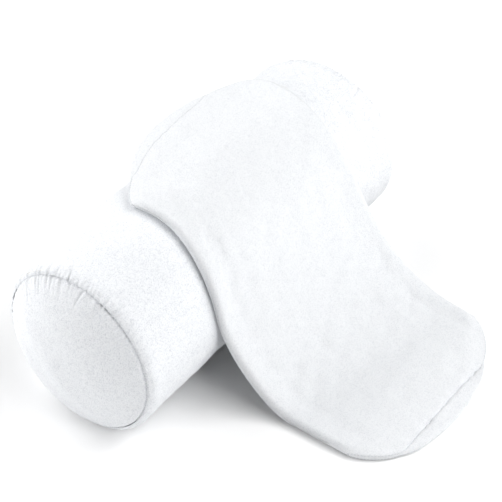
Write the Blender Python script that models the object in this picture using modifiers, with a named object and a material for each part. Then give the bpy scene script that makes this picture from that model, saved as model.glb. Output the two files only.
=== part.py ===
"""Bolster pillow for a massage table, with an empty spare cover laid over it.

The filled roll lies along X and rests on a pressed strip of its underside at Z = 0.
Its layers, from the inside out, are a foam core, a fibre wrap with two end pads, a thin
liner and a zipped outer cover. The spare cover lies across the roll: its rear end stands
out level behind the top, and it leaves the roll on the -Y side and comes down to the floor.
"""

import math

import bmesh
import bpy
from mathutils import Matrix, Vector

# ---- driving sizes, metres -------------------------------------------------------
ROLL_RADIUS = 0.100
ROLL_LENGTH = 0.465  # between the two end seams
END_DOME = 0.017  # bulge of each end panel
REST_PRESS = 0.032  # share of every layer's radius that the floor presses flat
COVER_THICK = 0.002
LINER_THICK = 0.0008
FIBRE_THICK = 0.009
SEAM_TURN = 0.006  # cover edge turned in behind each end seam
THREAD_RADIUS = 0.0005
GAP = 0.0003  # between parts that touch

ZIP_LENGTH = 0.340
ZIP_INSET = 0.024  # from the +X end seam to the nearer end of the slit
TAPE_WIDTH = 0.0098
TAPE_THICK = 0.0006
COIL_RADIUS = 0.0010
PLATE_LENGTH = 0.0090
PLATE_THICK = 0.0012
FLANGE_THICK = 0.0007
BAIL_RISE = 0.0029
PULL_LENGTH = 0.0200
PULL_WIDTH = 0.0064
PULL_THICK = 0.0010

SPARE_WIDTH = 0.256  # lying flat, edge to edge
SPARE_LENGTH = 0.472  # between its end seams
SPARE_THICK = 0.0020
FOLD_RADIUS = 0.0054  # mid-wall radius of the loop along each long edge
PLY_GAP = 0.0030  # loft between the two plies away from the edges
FOLD_THIN = 0.004  # least depth of the end panels' folds
CORNER_DEPTH = 0.049  # how far the edges stop short of the end seams, at rounded corners
CORNER_LEFT, CORNER_RIGHT = 0.055, 0.080  # how far across the cover each corner reaches
REAR_DEPTH, REAR_LEFT, REAR_RIGHT = 0.043, 0.112, 0.076  # the same for the rear end
TAIL_LEFT, TAIL_RIGHT = 5.6, 1.1  # degrees past the roll's top where each edge stops bending
SPARE_RUN = 0.055  # part of the spare slider's run that its joint covers
CREST = 0.0155  # how far each folded end panel shows beyond its seam
CREST_X, CREST_HALF = -0.010, 0.085  # middle and half width of the part that shows

FACETS = 60  # round the roll
ZIP_FACET = 9  # facet that the zip takes, counted from the lowest line towards +Y
STATIONS = 40  # along the spare cover

# ---- derived sizes ---------------------------------------------------------------
PRESSED = 1.0 - REST_PRESS
AXIS_Z = ROLL_RADIUS * PRESSED
HALF = ROLL_LENGTH / 2
WALL_MID = ROLL_RADIUS - COVER_THICK / 2
TAPE_OUT = ROLL_RADIUS - COVER_THICK - 2 * GAP
COIL_OUT = TAPE_OUT + 2 * GAP + COIL_RADIUS  # coil centre from the roll's axis
COIL_SIDE = COIL_RADIUS + GAP / 2
LINER_MID = TAPE_OUT - TAPE_THICK - GAP - LINER_THICK / 2
FIBRE_OUT = LINER_MID - LINER_THICK / 2 - GAP
CORE_RADIUS = FIBRE_OUT - FIBRE_THICK - GAP
SEAM_GROOVE = 2 * THREAD_RADIUS + 2 * GAP
LINER_HALF = HALF - COVER_THICK - 0.0036  # rim of the liner's end, behind the turned seam
LINER_DOME = END_DOME + SEAM_GROOVE + 0.0030
CORE_HALF = LINER_HALF - 0.0075
ZIP_X1 = HALF - ZIP_INSET
ZIP_X0 = ZIP_X1 - ZIP_LENGTH
FACET = 2 * math.pi / FACETS
ZIP_TURN = (ZIP_FACET + 0.5) * FACET

FOLD_OUT = FOLD_RADIUS + SPARE_THICK / 2
FOLD_X = SPARE_WIDTH / 2 - FOLD_OUT  # centre of each edge loop
FOLD_H = FOLD_OUT
LAID_RADIUS = ROLL_RADIUS + 3 * GAP  # underside of the spare cover on the roll


# ---- small helpers ---------------------------------------------------------------
def clear_scene():
    """Remove whatever the start-up file holds."""
    for obj in list(bpy.data.objects):
        bpy.data.objects.remove(obj, do_unlink=True)


def group(name, hidden=False):
    """Make a collection in the scene."""
    made = bpy.data.collections.new(name)
    bpy.context.scene.collection.children.link(made)
    made.hide_render = hidden
    return made


def finish(name, colour, roughness, metallic=0.0):
    """Make a plain Principled material."""
    mat = bpy.data.materials.new(name)
    mat.use_nodes = True
    shader = next(n for n in mat.node_tree.nodes if n.type == "BSDF_PRINCIPLED")
    shader.inputs["Base Color"].default_value = (*colour, 1.0)
    shader.inputs["Roughness"].default_value = roughness
    shader.inputs["Metallic"].default_value = metallic
    mat.diffuse_color = (*colour, 1.0)
    return mat


def keep(name, bm, look, smooth=True, home=None):
    """Turn a bmesh, drawn in world space, into a named object with its origin at home."""
    bmesh.ops.recalc_face_normals(bm, faces=bm.faces)
    if bm.calc_volume(signed=True) < 0:
        bmesh.ops.reverse_faces(bm, faces=bm.faces)
    mesh = bpy.data.meshes.new(name)
    bm.to_mesh(mesh)
    bm.free()
    obj = bpy.data.objects.new(name, mesh)
    if home is not None:
        mesh.transform(home.inverted())
        obj.matrix_world = home
    for poly in mesh.polygons:
        poly.use_smooth = smooth
    mesh.materials.append(finish(name, *LOOKS[look]))
    PARTS.objects.link(obj)
    return obj


def thicken(obj, thickness):
    """Give an open sheet its thickness, half to each side."""
    solid = obj.modifiers.new("thickness", "SOLIDIFY")
    solid.thickness = thickness
    solid.offset = 0.0
    solid.use_even_offset = True
    return obj


def press(bm):
    """Press the underside flat, each layer in proportion, and stand the roll on Z = 0."""
    for vert in bm.verts:
        radius = math.hypot(vert.co.y, vert.co.z)
        vert.co.z = max(vert.co.z, -PRESSED * radius) + AXIS_Z


def turned(profile, closed=False):
    """Spin (x, radius) points round the roll's axis, starting at the lowest line."""
    bm = bmesh.new()
    verts = [bm.verts.new((x, 0.0, -radius)) for x, radius in profile]
    edges = [bm.edges.new(pair) for pair in zip(verts, verts[1:])]
    if closed:
        edges.append(bm.edges.new((verts[-1], verts[0])))
    bmesh.ops.spin(bm, geom=verts + edges, cent=(0, 0, 0), axis=(1, 0, 0),
                   angle=2 * math.pi, steps=FACETS, use_merge=True)
    bmesh.ops.remove_doubles(bm, verts=bm.verts, dist=1e-6)
    press(bm)
    return bm


def dome(rim_x, rim_radius, rise, side, steps=3):
    """Points of a domed end, from its rim to the axis, on the side +1 or -1."""
    points = []
    for i in range(steps + 1):
        share = math.cos(i / steps * math.pi / 2)
        points.append((side * (rim_x + rise * (1 - share ** 2)), rim_radius * share))
    points[-1] = (points[-1][0], 0.0)
    return points


def box(bm, low, high):
    """Add a box between two corners."""
    low, high = Vector(low), Vector(high)
    size = high - low
    place = Matrix.Translation((low + high) / 2) @ Matrix.Diagonal((*size, 1.0))
    return bmesh.ops.create_cube(bm, size=1.0, matrix=place)["verts"]


# ---- the filled roll -------------------------------------------------------------
def roll_layers():
    """Foam, fibre and liner, each one closed and clear of the next."""
    keep("foam_core", turned([(-CORE_HALF, 0.0), (-CORE_HALF, CORE_RADIUS),
                              (CORE_HALF, CORE_RADIUS), (CORE_HALF, 0.0)]), "foam")
    wrap_in, x = CORE_RADIUS + GAP, CORE_HALF
    keep("fibre_wrap", turned([(-x, wrap_in), (-x, FIBRE_OUT), (x, FIBRE_OUT), (x, wrap_in)],
                              closed=True), "fibre")
    for end, side in (("near", -1), ("far", 1)):
        back = [(side * (CORE_HALF + GAP), 0.0), (side * (CORE_HALF + GAP), FIBRE_OUT)]
        rim = LINER_HALF - LINER_THICK / 2 - 2 * GAP
        keep(f"fibre_pad_{end}",
             turned(back + dome(rim, FIBRE_OUT, LINER_DOME - 2 * GAP, side)), "fibre")
        thicken(keep(f"liner_end_{end}", turned(
            dome(LINER_HALF + LINER_THICK / 2 + GAP, LINER_MID, LINER_DOME, side)), "liner"),
            LINER_THICK)
    thicken(keep("liner_sleeve", turned([(-LINER_HALF, LINER_MID), (LINER_HALF, LINER_MID)]),
                 "liner"), LINER_THICK)


def roll_cover():
    """Outer sleeve with its zip slit, two end panels and the end seams."""
    fold = HALF - COVER_THICK / 2
    bm = turned([(-fold, WALL_MID - SEAM_TURN), (-fold, WALL_MID), (ZIP_X0, WALL_MID),
                 (ZIP_X1, WALL_MID), (fold, WALL_MID), (fold, WALL_MID - SEAM_TURN)])
    slit = []
    for face in bm.faces:
        middle = face.calc_center_median()
        turn = math.atan2(middle.y, AXIS_Z - middle.z)
        if abs(turn - ZIP_TURN) < FACET / 2 and ZIP_X0 < middle.x < ZIP_X1:
            slit.append(face)
    bmesh.ops.delete(bm, geom=slit, context="FACES")
    thicken(keep("cover_sleeve", bm, "plush"), COVER_THICK)
    panel_x = HALF + SEAM_GROOVE + COVER_THICK / 2
    for end, side in (("near", -1), ("far", 1)):
        thicken(keep(f"cover_end_{end}",
                     turned(dome(panel_x, WALL_MID - THREAD_RADIUS, END_DOME, side)), "plush"),
                COVER_THICK)
        ring, x = [], side * (HALF + SEAM_GROOVE / 2)
        for i in range(4):
            turn = i / 4 * 2 * math.pi
            ring.append((x + THREAD_RADIUS * math.cos(turn),
                         WALL_MID + THREAD_RADIUS * math.sin(turn)))
        keep(f"seam_thread_{end}", turned(ring, closed=True), "thread")


# ---- zip pieces, drawn with x along the chain, y across it and z outwards ---------
def slider_shape():
    """Channel that rides on the coils, with the arch that holds the pull."""
    bm = bmesh.new()
    inner = 2 * COIL_RADIUS + GAP / 2 + GAP
    half, top = inner + FLANGE_THICK, COIL_RADIUS + GAP
    outline = [(-half, -COIL_RADIUS * 0.5), (-inner, -COIL_RADIUS * 0.5), (-inner, top),
               (inner, top), (inner, -COIL_RADIUS * 0.5), (half, -COIL_RADIUS * 0.5),
               (half, top + PLATE_THICK), (-half, top + PLATE_THICK)]
    face = bm.faces.new([bm.verts.new((-PLATE_LENGTH / 2, y, z)) for y, z in outline])
    grown = bmesh.ops.extrude_face_region(bm, geom=[face])
    moved = [v for v in grown["geom"] if isinstance(v, bmesh.types.BMVert)]
    bmesh.ops.translate(bm, verts=moved, vec=(PLATE_LENGTH, 0, 0))
    return bm


def bail_height():
    """Height of the pull's pin above the coils' centre plane."""
    return COIL_RADIUS + GAP + PLATE_THICK + BAIL_RISE / 2


def slider(name, home, joint_home):
    """Make a slider in its local frame, then give it the joint's origin."""
    bm = slider_shape()
    bm.transform(home)
    body = keep(name, bm, "zinc", smooth=False, home=joint_home)
    top = COIL_RADIUS + GAP + PLATE_THICK
    arch = bmesh.new()
    box(arch, (-0.0026, -0.0008, top - 0.0004), (0.0026, 0.0008, top + BAIL_RISE))
    arch.transform(home)
    hole = bmesh.new()
    across = Matrix.Translation((0, 0, bail_height())) @ Matrix.Rotation(math.pi / 2, 4, "X")
    bmesh.ops.create_cone(hole, cap_ends=True, segments=12, radius1=0.0009, radius2=0.0009,
                          depth=0.004, matrix=home @ across)
    for tool, solid, how in (("arch", arch, "UNION"), ("eye", hole, "DIFFERENCE")):
        cutter = keep(f"{name}_{tool}", solid, "zinc", smooth=False)
        PARTS.objects.unlink(cutter)
        CUTTERS.objects.link(cutter)
        cutter.display_type = "WIRE"
        cutter.hide_render = True
        cut = body.modifiers.new(tool, "BOOLEAN")
        cut.operation, cut.solver, cut.object = how, "EXACT", cutter
    return body


def pull(name, pin, home):
    """Make a pull tab that hangs from its pin along the local direction of home's Z."""
    bm = bmesh.new()
    half, eye = PULL_WIDTH / 2, PULL_WIDTH / 2 - 0.0012
    outline = [(-half, -PULL_THICK / 2), (half, -PULL_THICK / 2), (half, PULL_LENGTH * 0.8),
               (half * 0.5, PULL_LENGTH), (-half * 0.5, PULL_LENGTH), (-half, PULL_LENGTH * 0.8)]
    face = bm.faces.new([bm.verts.new((-PULL_THICK / 2, y, z)) for y, z in outline])
    grown = bmesh.ops.extrude_face_region(bm, geom=[face])
    moved = [v for v in grown["geom"] if isinstance(v, bmesh.types.BMVert)]
    bmesh.ops.translate(bm, verts=moved, vec=(PULL_THICK, 0, 0))
    bm.transform(home)
    body = keep(name, bm, "zinc", smooth=False, home=pin)
    window = bmesh.new()
    box(window, (-0.004, -eye, PULL_THICK / 2), (0.004, eye, 0.0046))
    window.transform(home)
    cutter = keep(f"{name}_eye", window, "zinc", smooth=False)
    PARTS.objects.unlink(cutter)
    CUTTERS.objects.link(cutter)
    cutter.display_type = "WIRE"
    cutter.hide_render = True
    cut = body.modifiers.new("eye", "BOOLEAN")
    cut.operation, cut.solver, cut.object = "DIFFERENCE", "EXACT", cutter
    return body


def zip_frame(x, radius, swing=0.0):
    """Frame on the roll: X along the roll, Z outwards through the zip, Y across it."""
    out = Vector((0.0, math.sin(ZIP_TURN + swing), -math.cos(ZIP_TURN + swing)))
    across = out.cross(Vector((1, 0, 0)))
    place = Matrix((Vector((1, 0, 0)), across, out)).transposed().to_4x4()
    return Matrix.Translation(Vector((x, 0, AXIS_Z)) + out * radius) @ place


def roll_zip():
    """Tapes, coils and stops behind the slit, and the slider at the +X end."""
    middle, half = (ZIP_X0 + ZIP_X1) / 2, ZIP_LENGTH / 2
    offset = TAPE_WIDTH / 2 + 0.0012
    for side, sign in (("upper", 1), ("lower", -1)):
        swing = sign * offset / TAPE_OUT
        tape = bmesh.new()
        box(tape, (-half - 0.006, -TAPE_WIDTH / 2, -TAPE_THICK), (half + 0.006, TAPE_WIDTH / 2, 0))
        tape.transform(zip_frame(middle, TAPE_OUT, swing))
        keep(f"zip_tape_{side}", tape, "tape", smooth=False)
        coil = bmesh.new()
        along = Matrix.Translation((0, -sign * COIL_SIDE, 0)) @ Matrix.Rotation(math.pi / 2, 4, "Y")
        bmesh.ops.create_cone(coil, cap_ends=True, segments=10, radius1=COIL_RADIUS,
                              radius2=COIL_RADIUS, depth=ZIP_LENGTH - 0.010, matrix=along)
        coil.transform(zip_frame(middle, COIL_OUT))
        keep(f"zip_coil_{side}", coil, "nylon")
    wide = COIL_SIDE + COIL_RADIUS
    for name, x in (("zip_top_stop", ZIP_X1 - 0.0025), ("zip_bottom_stop", ZIP_X0 + 0.0025)):
        stop = bmesh.new()
        box(stop, (-0.0018, -wide, -COIL_RADIUS), (0.0018, wide, COIL_RADIUS))
        stop.transform(zip_frame(x, COIL_OUT))
        keep(name, stop, "zinc", smooth=False)
    rest_x = ZIP_X1 - 0.005 - GAP - PLATE_LENGTH / 2
    seat = zip_frame(rest_x, COIL_OUT)
    slider("zip_slider", seat, seat)
    pin = seat @ Matrix.Translation((0, 0, bail_height()))
    pull("zip_pull", pin, pin)


# ---- the spare cover: drawn flat, then laid over the roll -------------------------
class Course:
    """Side view of one lengthwise line of the spare cover, from the front seam backwards.

    It runs flat on the floor, rises in an easy curve and meets the roll where the cloth
    leaves it; from there it follows the roll over the top.
    """

    def __init__(self, share):
        """Blend between the left edge (share 0) and the right edge (share 1)."""
        mix = lambda left, right: (left + (right - left) * share) * ROLL_RADIUS
        self.front = mix(-3.09, -3.09)
        touch = mix(-1.91, -2.55)
        self.leave = math.radians(mix(78.0, 56.0) / ROLL_RADIUS)
        self.tail = math.radians(mix(TAIL_LEFT, TAIL_RIGHT) / ROLL_RADIUS)
        rise, reach = mix(0.474, 0.678), mix(0.44, 1.11)
        turn = self.leave
        top = Vector((-LAID_RADIUS * math.sin(turn), AXIS_Z + LAID_RADIUS * math.cos(turn)))
        foot = Vector((touch, GAP))
        hold = top - Vector((math.cos(turn), math.sin(turn))) * rise
        poles = (foot, foot + Vector((reach, 0)), hold, top)
        self.points = [self.bezier(poles, i / 48) for i in range(49)]
        self.flat = touch - self.front
        self.marks = [self.flat]
        for a, b in zip(self.points, self.points[1:]):
            self.marks.append(self.marks[-1] + (b - a).length)

    @staticmethod
    def bezier(poles, t):
        """Point of a cubic curve."""
        a, b, c, d = poles
        u = 1 - t
        return a * u ** 3 + b * (3 * u * u * t) + c * (3 * u * t * t) + d * t ** 3

    def at(self, along):
        """Point and forward direction, in the YZ plane, at a distance from the seam."""
        if along <= self.flat:
            return Vector((self.front + along, GAP)), Vector((1.0, 0.0))
        if along >= self.marks[-1]:
            turn = self.leave - (along - self.marks[-1]) / LAID_RADIUS
            over = max(-self.tail - turn, 0.0)  # angle that the straight tail leaves unbent
            turn += over
            spot = Vector((-LAID_RADIUS * math.sin(turn), AXIS_Z + LAID_RADIUS * math.cos(turn)))
            way = Vector((math.cos(turn), math.sin(turn)))
            return spot + way * (over * LAID_RADIUS), way
        i = max(j for j, mark in enumerate(self.marks[:-1]) if mark <= along)
        share = (along - self.marks[i]) / (self.marks[i + 1] - self.marks[i])
        spot = self.points[i].lerp(self.points[i + 1], share)
        before, after = self.points[max(i - 1, 0)], self.points[min(i + 2, 48)]
        here = (self.points[i + 1] - self.points[i]).normalized()
        way = ((self.points[i] - before).normalized() * (1 - share) if i else here * (1 - share))
        way = way + here + (after - self.points[i + 1]).normalized() * share if i < 47 else here
        return spot, way.normalized()


COURSES = {}


def course(x):
    """Course of the cloth at a flat position across it, kept for reuse."""
    share = round(min(max((x + SPARE_WIDTH / 2) / SPARE_WIDTH, 0.0), 1.0), 4)
    if share not in COURSES:
        COURSES[share] = Course(share)
    return COURSES[share]


def lay(x, along, height):
    """Place a point of the flat cover: x across, along from the front seam, height up."""
    line = course(x)
    spot, way = line.at(along)
    out = Vector((-way.y, way.x))
    spot = spot + out * height
    start, end = line.flat * 0.6, line.marks[-1] * 1.45
    hang = min(max((along - start) / (end - start), 0.0), 1.0)
    sway = math.sin(math.pi * hang ** 1.525) ** 2
    shift = ROLL_RADIUS * (0.169 + 0.065 * hang - 0.145 * sway)
    return Vector((x + shift, spot.x, spot.y))


def corner(x, rear=False):
    """Distance that the sleeve is set back at the rounded corners of one end."""
    left, right = (REAR_LEFT, REAR_RIGHT) if rear else (CORNER_LEFT, CORNER_RIGHT)
    reach = right if x > 0 else left
    into = min(max((abs(x) - (SPARE_WIDTH / 2 - reach)) / reach, 0.0), 1.0)
    full = 0.85  # below 1, so that the corner ends in a slope
    curve = (1 - math.sqrt(1 - into * into * full)) / (1 - math.sqrt(1 - full))
    return (REAR_DEPTH if rear else CORNER_DEPTH) * curve


def groove(x, rear=False):
    """Seam groove measured along the cover, wider where the seam runs askew."""
    slope = (corner(x + 0.002, rear) - corner(x - 0.002, rear)) / 0.004
    return SEAM_GROOVE * math.hypot(1.0, slope * 1.25)


def sleeve_along(x, share):
    """Distance from the front seam at a share of the sleeve's length."""
    front, rear = corner(x), corner(x, rear=True)
    return front + (SPARE_LENGTH - front - rear) * share


def columns(wall):
    """Positions across the cover with the underside and top of a wall of that offset.

    wall is 0 for the middle of the cloth and half its thickness for the outer face.
    """
    loop = FOLD_RADIUS + wall
    low, top = SPARE_THICK / 2 - wall, 1.5 * SPARE_THICK + PLY_GAP + wall
    made = []
    for degrees in (20, 55, 90):
        turn = math.radians(degrees)
        made.append((FOLD_X + loop * math.cos(turn), FOLD_H - loop * math.sin(turn),
                     FOLD_H + loop * math.sin(turn)))
    for step in (1, 2):
        ease = (1 + math.cos(math.pi * step / 2)) / 2
        made.append((FOLD_X - 0.0070 * step, low, top + (FOLD_H + loop - top) * ease))
    made.append((SPARE_WIDTH / 2 - 0.042, low, top))
    made.append((SPARE_WIDTH / 2 - 0.068, low, top))
    made.append((SPARE_WIDTH / 2 - 0.098, low, top))
    made.append((0.0, low, top))
    left = [(-x, down, up) for x, down, up in made[:-1]]
    return left + made[::-1]


def ring(wall, along_of):
    """Closed ring round the cover: along the top to the right, back along the underside."""
    spots = columns(wall)
    top = [lay(x, along_of(x), up) for x, _, up in spots]
    low = [lay(x, along_of(x), down) for x, down, _ in spots]
    return top + low[::-1]


def zip_stations():
    """First and last station of the slit in the spare cover's right edge."""
    last = STATIONS - 2
    edge = edge_along(STATIONS) - edge_along(0)
    return max(last - round(ZIP_LENGTH / edge * STATIONS), 2), last


def edge_along(station):
    """Distance from the front seam, at the right edge, of a station of the sleeve."""
    return sleeve_along(FOLD_X + FOLD_RADIUS, station / STATIONS)


def spare_sleeve():
    """Flattened tube with a loop along each long edge and a slit in the right one."""
    bm = bmesh.new()
    rings = []
    for station in range(STATIONS + 1):
        share = station / STATIONS
        rings.append([bm.verts.new(p) for p in ring(0.0, lambda x, s=share: sleeve_along(x, s))])
    count, (first, last) = len(rings[0]), zip_stations()
    edge = count // 2 - 1  # last top column; the next vertex is under it
    for j, (a, b) in enumerate(zip(rings, rings[1:])):
        for i in range(count):
            if first <= j < last and edge - 1 <= i <= edge + 1:
                continue
            n = (i + 1) % count
            bm.faces.new((a[i], a[n], b[n], b[i]))
    thicken(keep("spare_sleeve", bm, "plush"), SPARE_THICK)


def spare_ends():
    """End panels, folded double beyond their seams, and the thread in each seam."""
    for end, front in (("front", True), ("back", False)):
        bm = bmesh.new()
        layers = []
        for step in range(4):
            turn = math.radians(30 * step)

            def place(x, turn=turn):
                """Distance along the cover at one layer of the panel's fold."""
                reach = CREST * (1 - min(abs(x - CREST_X) / CREST_HALF, 1.0) ** 2)
                gone = groove(x, not front) + (FOLD_THIN + reach) * math.sin(turn)
                return corner(x) - gone if front else sleeve_along(x, 1.0) + gone

            flat = math.cos(turn)
            row = []
            for (x, down, up), (wall_x, _, _) in zip(columns(SPARE_THICK / 2), columns(0.0)):
                mid, half = (down + up) / 2, (up - down) / 2 * flat
                along = place(wall_x)
                top = bm.verts.new(lay(x, along, mid + half))
                row.append((top, bm.verts.new(lay(x, along, mid - half)) if step < 3 else None))
            layers.append([(t, d or t) for t, d in row])
        rim = layers[0]
        for (t0, d0), (t1, d1) in zip(rim, rim[1:]):
            bm.faces.new((t0, t1, d1, d0))
        for a, b in zip(layers, layers[1:]):
            loop_a = [t for t, _ in a] + [d for _, d in reversed(a)]
            loop_b = [t for t, _ in b] + [d for _, d in reversed(b)]
            for i in range(len(loop_a)):
                n = (i + 1) % len(loop_a)
                corners = []
                for vert in (loop_a[i], loop_a[n], loop_b[n], loop_b[i]):
                    if vert not in corners:
                        corners.append(vert)
                if len(corners) > 2:
                    bm.faces.new(corners)
        keep(f"spare_end_{end}", bm, "plush")
        spot = (lambda x: corner(x) - groove(x) / 2) if front else (
            lambda x: sleeve_along(x, 1.0) + groove(x, rear=True) / 2)
        wire(f"spare_thread_{end}", ring(0.0, spot), THREAD_RADIUS, "thread", cyclic=True)


def wire(name, points, radius, look, cyclic=False):
    """Round wire along points, with closed ends."""
    curve = bpy.data.curves.new(name, "CURVE")
    curve.dimensions = "3D"
    curve.bevel_depth = radius
    curve.bevel_resolution = 1
    curve.use_fill_caps = True
    spline = curve.splines.new("POLY")
    spline.points.add(len(points) - 1)
    for spot, point in zip(spline.points, points):
        spot.co = (*point, 1.0)
    spline.use_cyclic_u = cyclic
    curve.materials.append(finish(name, *LOOKS[look]))
    obj = bpy.data.objects.new(name, curve)
    PARTS.objects.link(obj)
    obj.modifiers.new("weld", "WELD").merge_threshold = 1e-6
    return obj


def strip(name, spots, look):
    """Closed bar through a list of equal rings of points."""
    bm = bmesh.new()
    rings = [[bm.verts.new(p) for p in spot] for spot in spots]
    for a, b in zip(rings, rings[1:]):
        for i in range(len(a)):
            n = (i + 1) % len(a)
            bm.faces.new((a[i], a[n], b[n], b[i]))
    bm.faces.new(rings[0])
    bm.faces.new(rings[-1][::-1])
    return keep(name, bm, look, smooth=False)


def run_circle(spots):
    """Centre, axis and angle of the arc through three points of the slider's run."""
    a, b = spots[1] - spots[0], spots[2] - spots[0]
    axis = a.cross(b)
    hub = (b.length_squared * axis.cross(a) + a.length_squared * b.cross(axis)) / (
        2 * axis.length_squared)
    start, end = -hub, b - hub
    return spots[0] + hub, axis.normalized(), start.angle(end)


def spare_zip():
    """Tapes, coils and stops in the right edge, and the slider at the rear end."""
    first, last = zip_stations()
    start, stop = edge_along(first) + 0.001, edge_along(last) - 0.001
    chain_x = FOLD_X + FOLD_OUT - COIL_RADIUS  # coil centres, flush with the loop
    steps = last - first
    spans = [start + (stop - start) * i / steps for i in range(steps + 1)]
    for side, sign in (("upper", 1), ("lower", -1)):
        low, high = sorted((sign * 2 * GAP, sign * (2 * GAP + TAPE_THICK)))
        x0, x1 = chain_x - COIL_RADIUS - GAP - 0.0065, chain_x - COIL_RADIUS - GAP
        strip(f"spare_zip_tape_{side}", [
            [lay(x0, s, FOLD_H + low), lay(x1, s, FOLD_H + low),
             lay(x1, s, FOLD_H + high), lay(x0, s, FOLD_H + high)] for s in spans], "tape")
        wire(f"spare_zip_coil_{side}", [lay(chain_x, s, FOLD_H + sign * COIL_SIDE)
                                        for s in spans if start + 0.004 < s < stop - 0.004],
             COIL_RADIUS, "nylon")
    tall = COIL_SIDE + COIL_RADIUS
    for name, a, b in (("spare_zip_bottom_stop", start - 0.0005, start + 0.0022),
                       ("spare_zip_top_stop", stop - 0.0022, stop + 0.0005)):
        x0, x1 = chain_x - COIL_RADIUS + GAP, chain_x + COIL_RADIUS
        strip(name, [[lay(x0, s, FOLD_H - tall), lay(x1, s, FOLD_H - tall),
                      lay(x1, s, FOLD_H + tall), lay(x0, s, FOLD_H + tall)] for s in (a, b)],
              "zinc")
    rest = stop - 0.0048 - PLATE_LENGTH / 2
    spot = lay(chain_x, rest, FOLD_H)
    ahead = lay(chain_x, rest + 0.001, FOLD_H) - lay(chain_x, rest - 0.001, FOLD_H)
    ahead.normalize()
    across = Vector((1, 0, 0)).cross(ahead).normalized()
    out = ahead.cross(across)
    seat = Matrix.Translation(spot) @ Matrix((ahead, across, out)).transposed().to_4x4()
    hub, _, _ = run_circle([lay(chain_x, rest - SPARE_RUN * k / 2, FOLD_H) for k in range(3)])
    slider("spare_zip_slider", seat, Matrix.Translation(hub))
    pin = seat @ Matrix.Translation((0, 0, bail_height()))
    hang = Matrix.Translation(pin.translation) @ Matrix((-out, across, ahead)).transposed().to_4x4()
    pull("spare_zip_pull", Matrix.Translation(pin.translation), hang)


LOOKS = {
    "plush": ((0.86, 0.87, 0.89), 0.95),
    "foam": ((0.80, 0.78, 0.62), 0.90),
    "fibre": ((0.90, 0.90, 0.89), 0.95),
    "liner": ((0.83, 0.84, 0.85), 0.85),
    "thread": ((0.78, 0.79, 0.82), 0.80),
    "tape": ((0.82, 0.83, 0.85), 0.85),
    "nylon": ((0.76, 0.77, 0.79), 0.45),
    "zinc": ((0.62, 0.63, 0.65), 0.35, 1.0),
}

clear_scene()
PARTS = group("bolster_pillow")
CUTTERS = group("cutters", hidden=True)
roll_layers()
roll_cover()
roll_zip()
spare_sleeve()
spare_ends()
spare_zip()
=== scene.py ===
"""Looks of the bolster pillow and the spare cover draped across it.

The packed CAD model gives the frame. The covers, their threads, the liner and the fibre pads are
rebuilt here as their own meshes, and the covers have seams, gathers and a short pile. The foam, the
fibre wrap and the zips keep their CAD shape, except the pull of the spare zip, which is cut down.
"""

import logging
import math
from dataclasses import dataclass, field
from enum import Enum
from typing import Callable, Sequence

import bmesh
import bpy
import numpy as np
from mathutils import Matrix, Vector


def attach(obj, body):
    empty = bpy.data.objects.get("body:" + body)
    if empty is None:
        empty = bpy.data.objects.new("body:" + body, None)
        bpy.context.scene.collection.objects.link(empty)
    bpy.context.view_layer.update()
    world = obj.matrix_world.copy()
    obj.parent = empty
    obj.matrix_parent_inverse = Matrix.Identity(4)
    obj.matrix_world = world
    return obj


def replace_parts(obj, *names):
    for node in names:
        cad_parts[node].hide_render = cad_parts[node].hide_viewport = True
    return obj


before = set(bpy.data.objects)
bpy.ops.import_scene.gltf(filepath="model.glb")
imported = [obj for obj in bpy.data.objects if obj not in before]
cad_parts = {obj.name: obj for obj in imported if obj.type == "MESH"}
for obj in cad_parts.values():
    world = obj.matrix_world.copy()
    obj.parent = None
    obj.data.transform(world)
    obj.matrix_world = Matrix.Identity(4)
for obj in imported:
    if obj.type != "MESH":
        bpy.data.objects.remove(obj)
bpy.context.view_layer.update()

LOG = logging.getLogger("bolster")
SEED = 11


# ---- small tools -----------------------------------------------------------------
def smooth_step(low: float, high: float, value: np.ndarray) -> np.ndarray:
    """Ease from 0 at low to 1 at high.

    Args:
        low: Value where the step starts.
        high: Value where the step ends.
        value: Values to ease.

    Returns:
        The eased shares, from 0 to 1.
    """
    share = np.clip((np.asarray(value, float) - low) / (high - low), 0.0, 1.0)
    return share * share * (3 - 2 * share)


def ripples(a: np.ndarray, b: np.ndarray, size: float, seed: int, waves: int = 9) -> np.ndarray:
    """Gentle uneven swell over a surface, from a few seeded sine waves.

    Args:
        a: First surface coordinate, metres.
        b: Second surface coordinate, metres.
        size: Typical width of a swell, metres.
        seed: Seed of the wave directions.
        waves: Number of waves.

    Returns:
        Heights of about -1 to 1.
    """
    rng = np.random.default_rng(seed)
    total = np.zeros(np.broadcast(a, b).shape)
    for _ in range(waves):
        turn, phase = rng.uniform(0, 2 * math.pi, 2)
        pitch = size * rng.uniform(0.7, 1.6)
        total = total + np.sin((a * math.cos(turn) + b * math.sin(turn)) * 2 * math.pi / pitch + phase)
    return total / math.sqrt(waves)


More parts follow.
